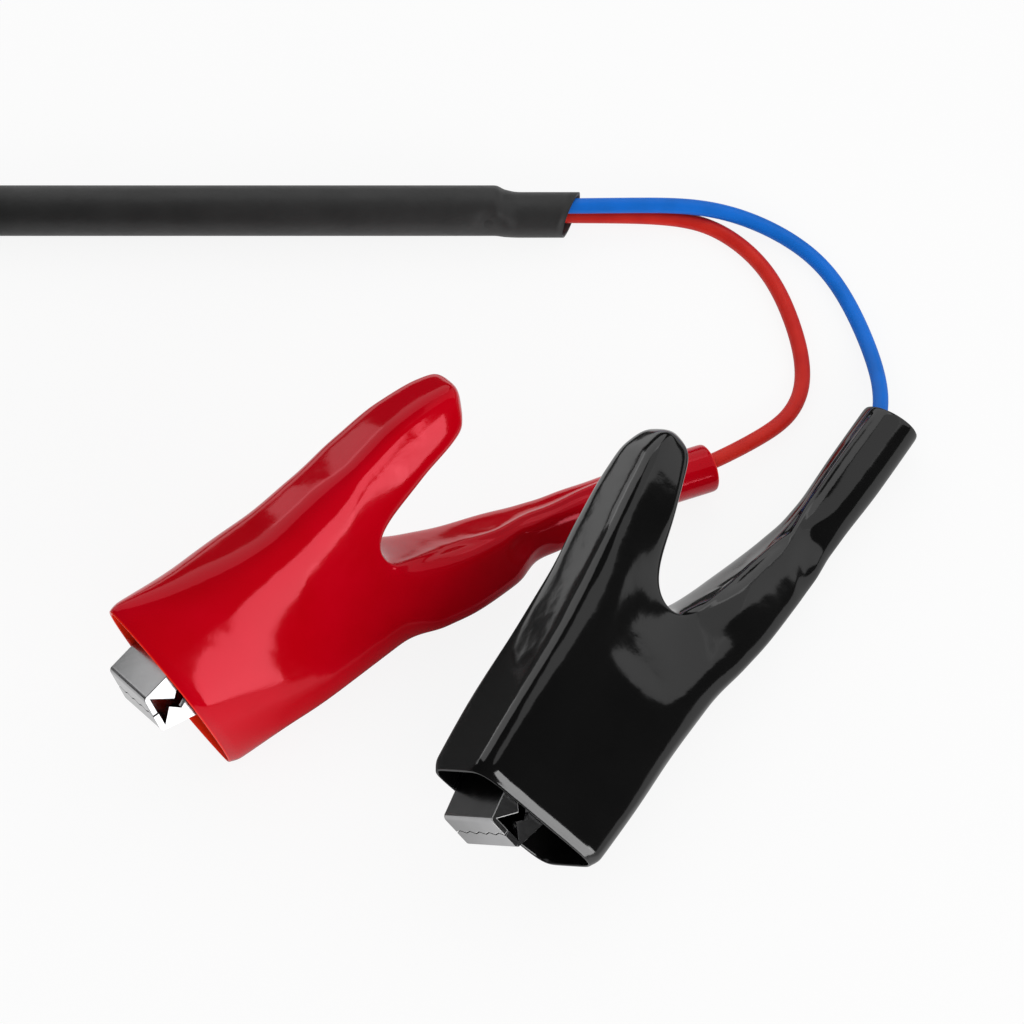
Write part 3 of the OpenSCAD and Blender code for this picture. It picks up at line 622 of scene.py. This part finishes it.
def fork(body, crotch, handle, arm, wall, inside):
    """Points and faces of one skin of a boot: its body and its two branches.

    The faces are wound with their fronts in, and boot() turns those of the inner skin.
    """
    half = SIDES // 2
    shared = rings_along(body, wall, lip=not inside)
    upper = rings_along(handle, wall, len(handle) - 2 if inside else None)
    lower = rings_along(arm, wall)
    last, before = shared[-1], shared[-2]
    bridge = last[:half].copy()
    bridge[:, 0], bridge[:, 2] = crotch[0] - wall, crotch[1]
    up = np.concatenate([bridge, last[half:]])
    low = np.concatenate([last[:half], bridge[::-1]])
    onward = (last - before) / np.linalg.norm((last - before).mean(0))
    reach_up = upper[0].mean(0)[0] - last.mean(0)[0]
    across = 0.5 * (upper[0][:half] - lower[0][half:][::-1])
    way_up = np.concatenate([across, onward[half:] * reach_up])
    way_low = np.concatenate([onward[:half] * reach_up, -across[::-1]])
    end_up = (upper[1] - upper[0]) * reach_up / np.linalg.norm((upper[1] - upper[0]).mean(0))
    end_low = (lower[1] - lower[0]) * reach_up / np.linalg.norm((lower[1] - lower[0]).mean(0))
    upper = lead_in(up, upper[0], way_up, end_up) + upper
    lower = lead_in(low, lower[0], way_low, end_low) + lower
    rings = shared + upper + lower
    n, s, u = SIDES, len(shared), len(upper)
    base = len(rings) * n
    last_ids = list(range((s - 1) * n, s * n))
    bridge_ids = list(range(base, base + half))

    def join(a, b):
        return [(a[k], a[(k + 1) % n], b[(k + 1) % n], b[k]) for k in range(n)]

    def ids(i):
        return list(range(i * n, (i + 1) * n))

    faces = []
    for i in range(s - 1):
        faces += join(ids(i), ids(i + 1))
    faces += join(bridge_ids + last_ids[half:], ids(s))
    for i in range(s, s + u - 1):
        faces += join(ids(i), ids(i + 1))
    faces += join(last_ids[:half] + bridge_ids[::-1], ids(s + u))
    for i in range(s + u, len(rings) - 1):
        faces += join(ids(i), ids(i + 1))
    faces += [(last_ids[half - 1], last_ids[half], bridge_ids[-1]),
              (last_ids[-1], last_ids[0], bridge_ids[0])]
    faces.append(tuple(ids(s + u - 1)))
    return np.concatenate(rings + [bridge]), faces, ids(0), ids(len(rings) - 1)


def relax(points, faces, weight, rounds):
    """Moves points towards the middle of their neighbours, by weight."""
    a, b = [], []
    for f in faces:
        for i, j in zip(f, f[1:] + f[:1]):
            a += [i, j]
            b += [j, i]
    a, b = np.array(a), np.array(b)
    degree = np.bincount(a, minlength=len(points))[:, None]
    for _ in range(rounds):
        total = np.zeros_like(points)
        np.add.at(total, a, points[b])
        points = points + weight[:, None] * (total / np.maximum(degree, 1) - points)
    return points


def ways_inward(points, faces):
    """Unit vectors at the points, into the boot's wall, as its faces are wound."""
    total = np.zeros_like(points)
    for corners in (3, 4):
        f = np.array([face for face in faces if len(face) == corners])
        across = np.cross(points[f[:, 2]] - points[f[:, 0]], points[f[:, -1]] - points[f[:, 1]])
        for k in range(corners):
            np.add.at(total, f[:, k], across)
    return total / np.maximum(np.linalg.norm(total, axis=1), 1e-9)[:, None]


def fold(points, inward, line, width, height):
    """Raises a fine fold along a line, on the skin that lies within its width."""
    line = smooth_curve(line, 8)
    away = np.full(len(points), np.inf)
    for a, b in zip(line, line[1:]):
        a, b = np.array(a), np.array(b)
        t = np.clip((points - a) @ (b - a) / ((b - a) @ (b - a)), 0, 1)
        away = np.minimum(away, np.linalg.norm(points - a - t[:, None] * (b - a), axis=1))
    lift = np.clip(1 - (away / width) ** 2, 0, 1) ** 2
    return points - height * lift[:, None] * inward


def boot(side, shape, clip, material, web, rounds, dents, folds):
    """A whole boot; web is how far its sides draw in across the crotch, and over what reach."""
    body, crotch, _, arm = shape
    outer, faces, mouth, end = fork(*shape, 0, False)
    inner, inner_faces, inner_mouth, inner_end = fork(*shape, WALL, True)
    past = len(outer)
    points = np.concatenate([outer, inner])
    faces += [tuple(i + past for i in reversed(f)) for f in inner_faces]
    for ring_out, ring_in, row, way, turned in (
            (mouth, inner_mouth, body[0], 1, LIP_DROP), (end, inner_end, arm[-1], -1, 0)):
        start = len(points)
        points = np.concatenate([points] + [
            boot_ring(row, turned + (WALL - turned) * share, -way * RIM_OUT)
            for share in RIM_SHARES])
        rings = [ring_out, range(start, start + SIDES), range(start + SIDES, len(points)),
                 [i + past for i in ring_in]]
        for first, second in zip(rings, rings[1:]):
            quads = [(first[k], second[k], second[(k + 1) % SIDES], first[(k + 1) % SIDES])
                     for k in range(SIDES)]
            faces += quads if way > 0 else [q[::-1] for q in quads]
    deep, along, across = web
    points[:, 1] *= 1 - deep * near(points, (crotch[0], 0, crotch[1]), (along, ANY_Y, across))
    weight = RELAX * near(points, (crotch[0] + 1, 0, crotch[1]), RELAX_REACH)
    points = relax(points, faces, weight, rounds)
    for place, radius, push in dents:
        points = points + near(points, place, radius)[:, None] * np.array(push)
    inward = ways_inward(points, faces)
    for line, width, height in folds:
        points = fold(points, inward, line, width, height)
    points = [above_table(clip @ Vector(p)) for p in points]
    piece = mesh_piece(side + "_boot_skin", points, faces, material)
    outside = piece.data.attributes.new("outside", "FLOAT", "POINT")
    outside.data.foreach_set("value", [1.0] * past + [0.0] * (len(points) - past))
    fine = piece.modifiers.new("fine", "SUBSURF")
    fine.levels = fine.render_levels = 1
    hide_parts(side + "_boot")
    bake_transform(piece)


# Each dent is a place, how far it reaches and its push; each fold a line, width and height
RED_DENTS = [((65, -4.8, -16.3), (3.4, 3, 2.8), (0, 0.5, 0.1)),
             ((66.5, -3.6, -21.2), (5, 4, 3), (0, 0.4, 0.9))]
RED_FOLDS = [
    ([(45.5, -6.6, -4.4), (48.2, -5.2, -5.7), (52, -3.6, -7.7), (54.8, -2.6, -9), (57.1, -2.6, -10),
      (60, -3.3, -11.4), (62.8, -3.4, -12.5), (65.2, -2.8, -13.2), (68.3, -1.9, -14.2),
      (71.6, -1.7, -15.5), (74.3, -1.5, -16.2), (77.9, -1.2, -17.1), (83, -0.9, -18.9)], 0.9, 0.45),
    ([(50.4, -5.4, -8.2), (53.6, -4.6, -9.6), (57, -4.2, -11)], 0.8, 0.22),
    ([(69, -3.2, -15.6), (71.4, -2.9, -16.2), (73, -2.6, -17)], 0.8, 0.25)]
BLACK_DENTS = [((72.3, -4.4, -16.8), (6, 4.5, 4), (0, 0.5, 0.1)),
               ((68.5, -4.6, -19.6), (4, 3, 3), (0, 0.25, 0.3))]
BLACK_FOLDS = [
    ([(48.9, -5.6, -5.7), (52.6, -4.7, -7.1), (56.7, -3.7, -8.6), (64.2, -2.5, -11),
      (69.9, -2.3, -12.7), (73.2, -2.9, -14.2), (74.6, -2.4, -14.2), (79, -1.5, -14.1),
      (84.3, -1.4, -14.2), (91.7, -1.5, -14.3), (98, -1.6, -14.6)], 0.7, 0.26),
    ([(56, -2.4, -8), (64, -1.5, -10.8), (70, -1.3, -12.5), (76, -1, -13.6), (84, -0.4, -14.1),
      (92, -0.5, -14.2)], 0.6, 0.16)]
boot("red", (RED_BODY, RED_CROTCH, RED_HANDLE, RED_ARM), RED, red_pvc, (0.12, 17, 12), 28,
     RED_DENTS, RED_FOLDS)
boot("black", (BLACK_BODY, BLACK_CROTCH, BLACK_HANDLE, BLACK_ARM), BLACK, black_pvc,
     (0.45, 19, 13.5), 45, BLACK_DENTS, BLACK_FOLDS)


# ---------------------------------------------------------------- torsion springs
SPRING_R, SPRING_WIRE, SPRING_GAP = 3.2, 1.4, 0.5
UPPER_LEG, LOWER_LEG, LEG_LENGTH = 27, 33, 15  # slopes in degrees, length in millimetres
WHOLE_TURNS = 3
SPRING_STEPS, SPRING_SIDES = 32, 14            # rings to a turn, and points to a ring
LEG_STEP = 2                                   # space between a leg's rings


def spring_route():
    """The wire's middle line in the clip's axes: a leg, the curls and the other leg."""
    first, last = 90 + UPPER_LEG, 270 - LOWER_LEG + WHOLE_TURNS * 360
    half = (last - first) / 360 * (SPRING_WIRE + SPRING_GAP) / 2
    count = int((last - first) / 360 * SPRING_STEPS)
    curls = []
    for i in range(count + 1):
        a = math.radians(first + (last - first) * i / count)
        curls.append((PIVOT[0] + SPRING_R * math.cos(a), half - 2 * half * i / count,
                      PIVOT[1] + SPRING_R * math.sin(a)))
    legs = []
    for (x, y, z), slope in ((curls[0], UPPER_LEG), (curls[-1], -LOWER_LEG)):
        c, s = math.cos(math.radians(slope)), math.sin(math.radians(slope))
        legs.append([(x + k * c, y, z + k * s) for k in range(1, LEG_LENGTH + 1, LEG_STEP)])
    return np.array(legs[0][::-1] + curls + legs[1])


def torsion_spring(side, clip):
    """The spring's wire: a leg, the curls and the other leg."""
    route = spring_route()
    ahead = np.gradient(route, axis=0)
    ahead /= np.linalg.norm(ahead, axis=1)[:, None]
    across = np.cross([0, 1, 0], ahead)
    across /= np.linalg.norm(across, axis=1)[:, None]
    up = np.cross(ahead, across)
    turns = [2 * math.pi * k / SPRING_SIDES for k in range(SPRING_SIDES)]
    points = [clip @ Vector(middle + SPRING_WIRE / 2 * (math.cos(a) * u + math.sin(a) * v))
              for middle, u, v in zip(route, across, up) for a in turns]
    rings = [points[i:i + SPRING_SIDES] for i in range(0, len(points), SPRING_SIDES)]
    faces = ring_faces(rings)
    faces += [tuple(reversed(range(SPRING_SIDES))),
              tuple(range(len(points) - SPRING_SIDES, len(points)))]
    piece = mesh_piece(side + "_spring_wire", points, faces, spring_steel)
    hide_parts(side + "_spring")
    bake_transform(piece)


torsion_spring("red", RED)
torsion_spring("black", BLACK)


# ---------------------------------------------------------------- metal and other solids
SAME_POINT = 0.002                     # corners of a solid this near each other are one
SHARP = 35                             # edges that turn more, in degrees, are worn round
JAW_WEAR, RIVET_WEAR, BODY_WEAR = 0.26, 0.1, 0.3


def dress(node, material, bevel=0.0, edge_material=None):
    """Gives a solid its material and, with a bevel, worn edges."""
    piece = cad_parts[node]
    piece.data.materials.clear()
    piece.data.materials.append(material)
    if edge_material:
        piece.data.materials.append(edge_material)
    if bevel:
        joined = piece.modifiers.new("joined", "WELD")
        joined.merge_threshold = SAME_POINT * MM
        edge = piece.modifiers.new("worn_edges", "BEVEL")
        edge.width = bevel * MM
        edge.segments = 2
        edge.limit_method = "ANGLE"
        edge.angle_limit = math.radians(SHARP)
        edge.harden_normals = True
        edge.material = 1 if edge_material else -1


# Painted highlight: only the black clip's worn jaw edges get the near-white metal; the red clip's
# keep the plated steel
for side, edge in (("red", None), ("black", painted_highlight_edge)):
    dress(side + "_upper_jaw", plated_steel, JAW_WEAR, edge)
    dress(side + "_lower_jaw", plated_steel, JAW_WEAR, edge)
    dress(side + "_rivet", plated_steel, RIVET_WEAR)
    dress(side + "_strands", copper)
dress("cable_end", sheath_black)
dress("strain_relief", moulding_black)
dress("connector_body", moulding_black, BODY_WEAR)
dress("connector_pin", brass)
dress("connector_socket", brass)


# ---------------------------------------------------------------- floor
SHEET_LEFT, SHEET_RIGHT, SHEET_FRONT, SHEET_BACK = -0.42, 0.16, -0.135, 0.18
SHEET_GLOW = 0.88                      # share of the sheet's look that is plain white
# Painted shade: in the polish of the clips the sheet's glow is darker, a little everywhere, most of
# all under the red clip, and to the right. Places and reaches are in metres.
UNDER, UNDER_REACH = (0.002, -0.032), (0.046, 0.032)
RIGHT_FADE = (0.045, 0.062)
SHADE, UNDER_SHADE, RIGHT_SHADE = -0.2, -0.93, -0.45


def sheet_material():
    """White paper that still takes shadows, with painted shade in its glow as the clips' polish
    shows it.
    """
    n = Nodes("floor")
    n.set("Base Color", (0.9, 0.9, 0.9, 1))
    n.set("Roughness", 0.9)
    rays = n.new("ShaderNodeLightPath").outputs
    seen = n.maths("MAXIMUM", rays["Is Camera Ray"], rays["Is Glossy Ray"])
    mapping = n.new("ShaderNodeMapping")
    mapping.inputs["Location"].default_value = (-UNDER[0] / UNDER_REACH[0],
                                                -UNDER[1] / UNDER_REACH[1], 0)
    mapping.inputs["Scale"].default_value = (1 / UNDER_REACH[0], 1 / UNDER_REACH[1], 0)
    n.link(n.place, mapping.inputs["Vector"])
    ball = n.new("ShaderNodeTexGradient", gradient_type="SPHERICAL")
    n.link(mapping.outputs["Vector"], ball.inputs["Vector"])
    under = n.spread(ball.outputs["Fac"], SHADE, UNDER_SHADE, end=0.5)
    apart = n.new("ShaderNodeSeparateXYZ")
    n.link(n.place, apart.inputs["Vector"])
    beside = n.spread(apart.outputs["X"], 0, RIGHT_SHADE, *RIGHT_FADE)
    glow = n.new("ShaderNodeEmission")
    glow.inputs["Color"].default_value = (1, 1, 1, 1)
    # Painted shade: glossy rays see the glow turned down under the red clip and to the right
    n.link(n.maths("MULTIPLY_ADD", rays["Is Glossy Ray"], n.maths("ADD", under, beside), 1),
           glow.inputs["Strength"])
    look = n.new("ShaderNodeMixShader")
    n.link(n.maths("MULTIPLY", seen, SHEET_GLOW), look.inputs["Fac"])
    n.link(n.shader.outputs[0], look.inputs[1])
    n.link(glow.outputs[0], look.inputs[2])
    output = next(node for node in n.tree.nodes if node.type == "OUTPUT_MATERIAL")
    n.link(look.outputs[0], output.inputs["Surface"])
    return n.material


floor = mesh_piece("floor",
                   [(SHEET_LEFT, SHEET_FRONT, TABLE_Z), (SHEET_RIGHT, SHEET_FRONT, TABLE_Z),
                    (SHEET_RIGHT, SHEET_BACK, TABLE_Z), (SHEET_LEFT, SHEET_BACK, TABLE_Z)],
                   [(0, 1, 2, 3)], sheet_material())

# ---------------------------------------------------------------- lamps and world
CLIPS, LAMPS_AWAY = Vector((0, 0, 0.02)), 0.7
# Each lamp's name, then as seen from the clips, in degrees, its bearing, how high it stands,
# how wide and how tall it looks, then its radiance and whether it shows in gloss
LAMPS = [
    ("front_right", -47, 14, 20, 42, 3.2, True),
    ("front_fill", -71, 14, 28, 42, 3.5, False),
    ("front_low", -33.5, 1, 9, 12, 3.2, True),
    ("back_left", 107, 32, 70, 50, 0.72, True),
    ("back_fill", 107, 32, 70, 50, 0.43, False),
    ("low_left", 143, 4, 34, 14, 0.9, True),
    ("high_right", 32, 58, 56, 34, 0.42, True),
    ("right", 29, 20, 54, 42, 0.48, True)]


def softbox(name, bearing, height, wide, tall, radiance, in_gloss):
    """A lamp of the table above."""
    a, e = math.radians(bearing), math.radians(height)
    data = bpy.data.lights.new(name, "AREA")
    data.shape = "RECTANGLE"
    data.size = 2 * LAMPS_AWAY * math.tan(math.radians(wide / 2))
    data.size_y = 2 * LAMPS_AWAY * math.tan(math.radians(tall / 2))
    data.energy = radiance * math.pi * data.size * data.size_y
    lamp = bpy.data.objects.new(name, data)
    way = Vector((math.cos(e) * math.cos(a), math.cos(e) * math.sin(a), math.sin(e)))
    lamp.location = CLIPS + LAMPS_AWAY * way
    lamp.rotation_euler = way.to_track_quat("Z", "Y").to_euler()
    lamp.visible_glossy = in_gloss
    bpy.context.scene.collection.objects.link(lamp)


for lamp_row in LAMPS:
    softbox(*lamp_row)

world = bpy.data.worlds.new("studio")
bpy.context.scene.world = world
world.use_nodes = True
tree = world.node_tree


def surroundings(strength):
    node = tree.nodes.new("ShaderNodeBackground")
    node.inputs["Color"].default_value = (1, 1, 1, 1)
    node.inputs["Strength"].default_value = strength
    return node.outputs[0]


def pick(factor, other, chosen):
    node = tree.nodes.new("ShaderNodeMixShader")
    tree.links.new(factor, node.inputs["Fac"])
    tree.links.new(other, node.inputs[1])
    tree.links.new(chosen, node.inputs[2])
    return node.outputs[0]


path = tree.nodes.new("ShaderNodeLightPath")
soft_fill, dark_room, white = surroundings(0.5), surroundings(0.025), surroundings(1.0)
seen_in_gloss = pick(path.outputs["Is Glossy Ray"], soft_fill, dark_room)
tree.links.new(pick(path.outputs["Is Camera Ray"], seen_in_gloss, white),
               tree.nodes["World Output"].inputs["Surface"])

bpy.context.scene.view_settings.view_transform = "Standard"
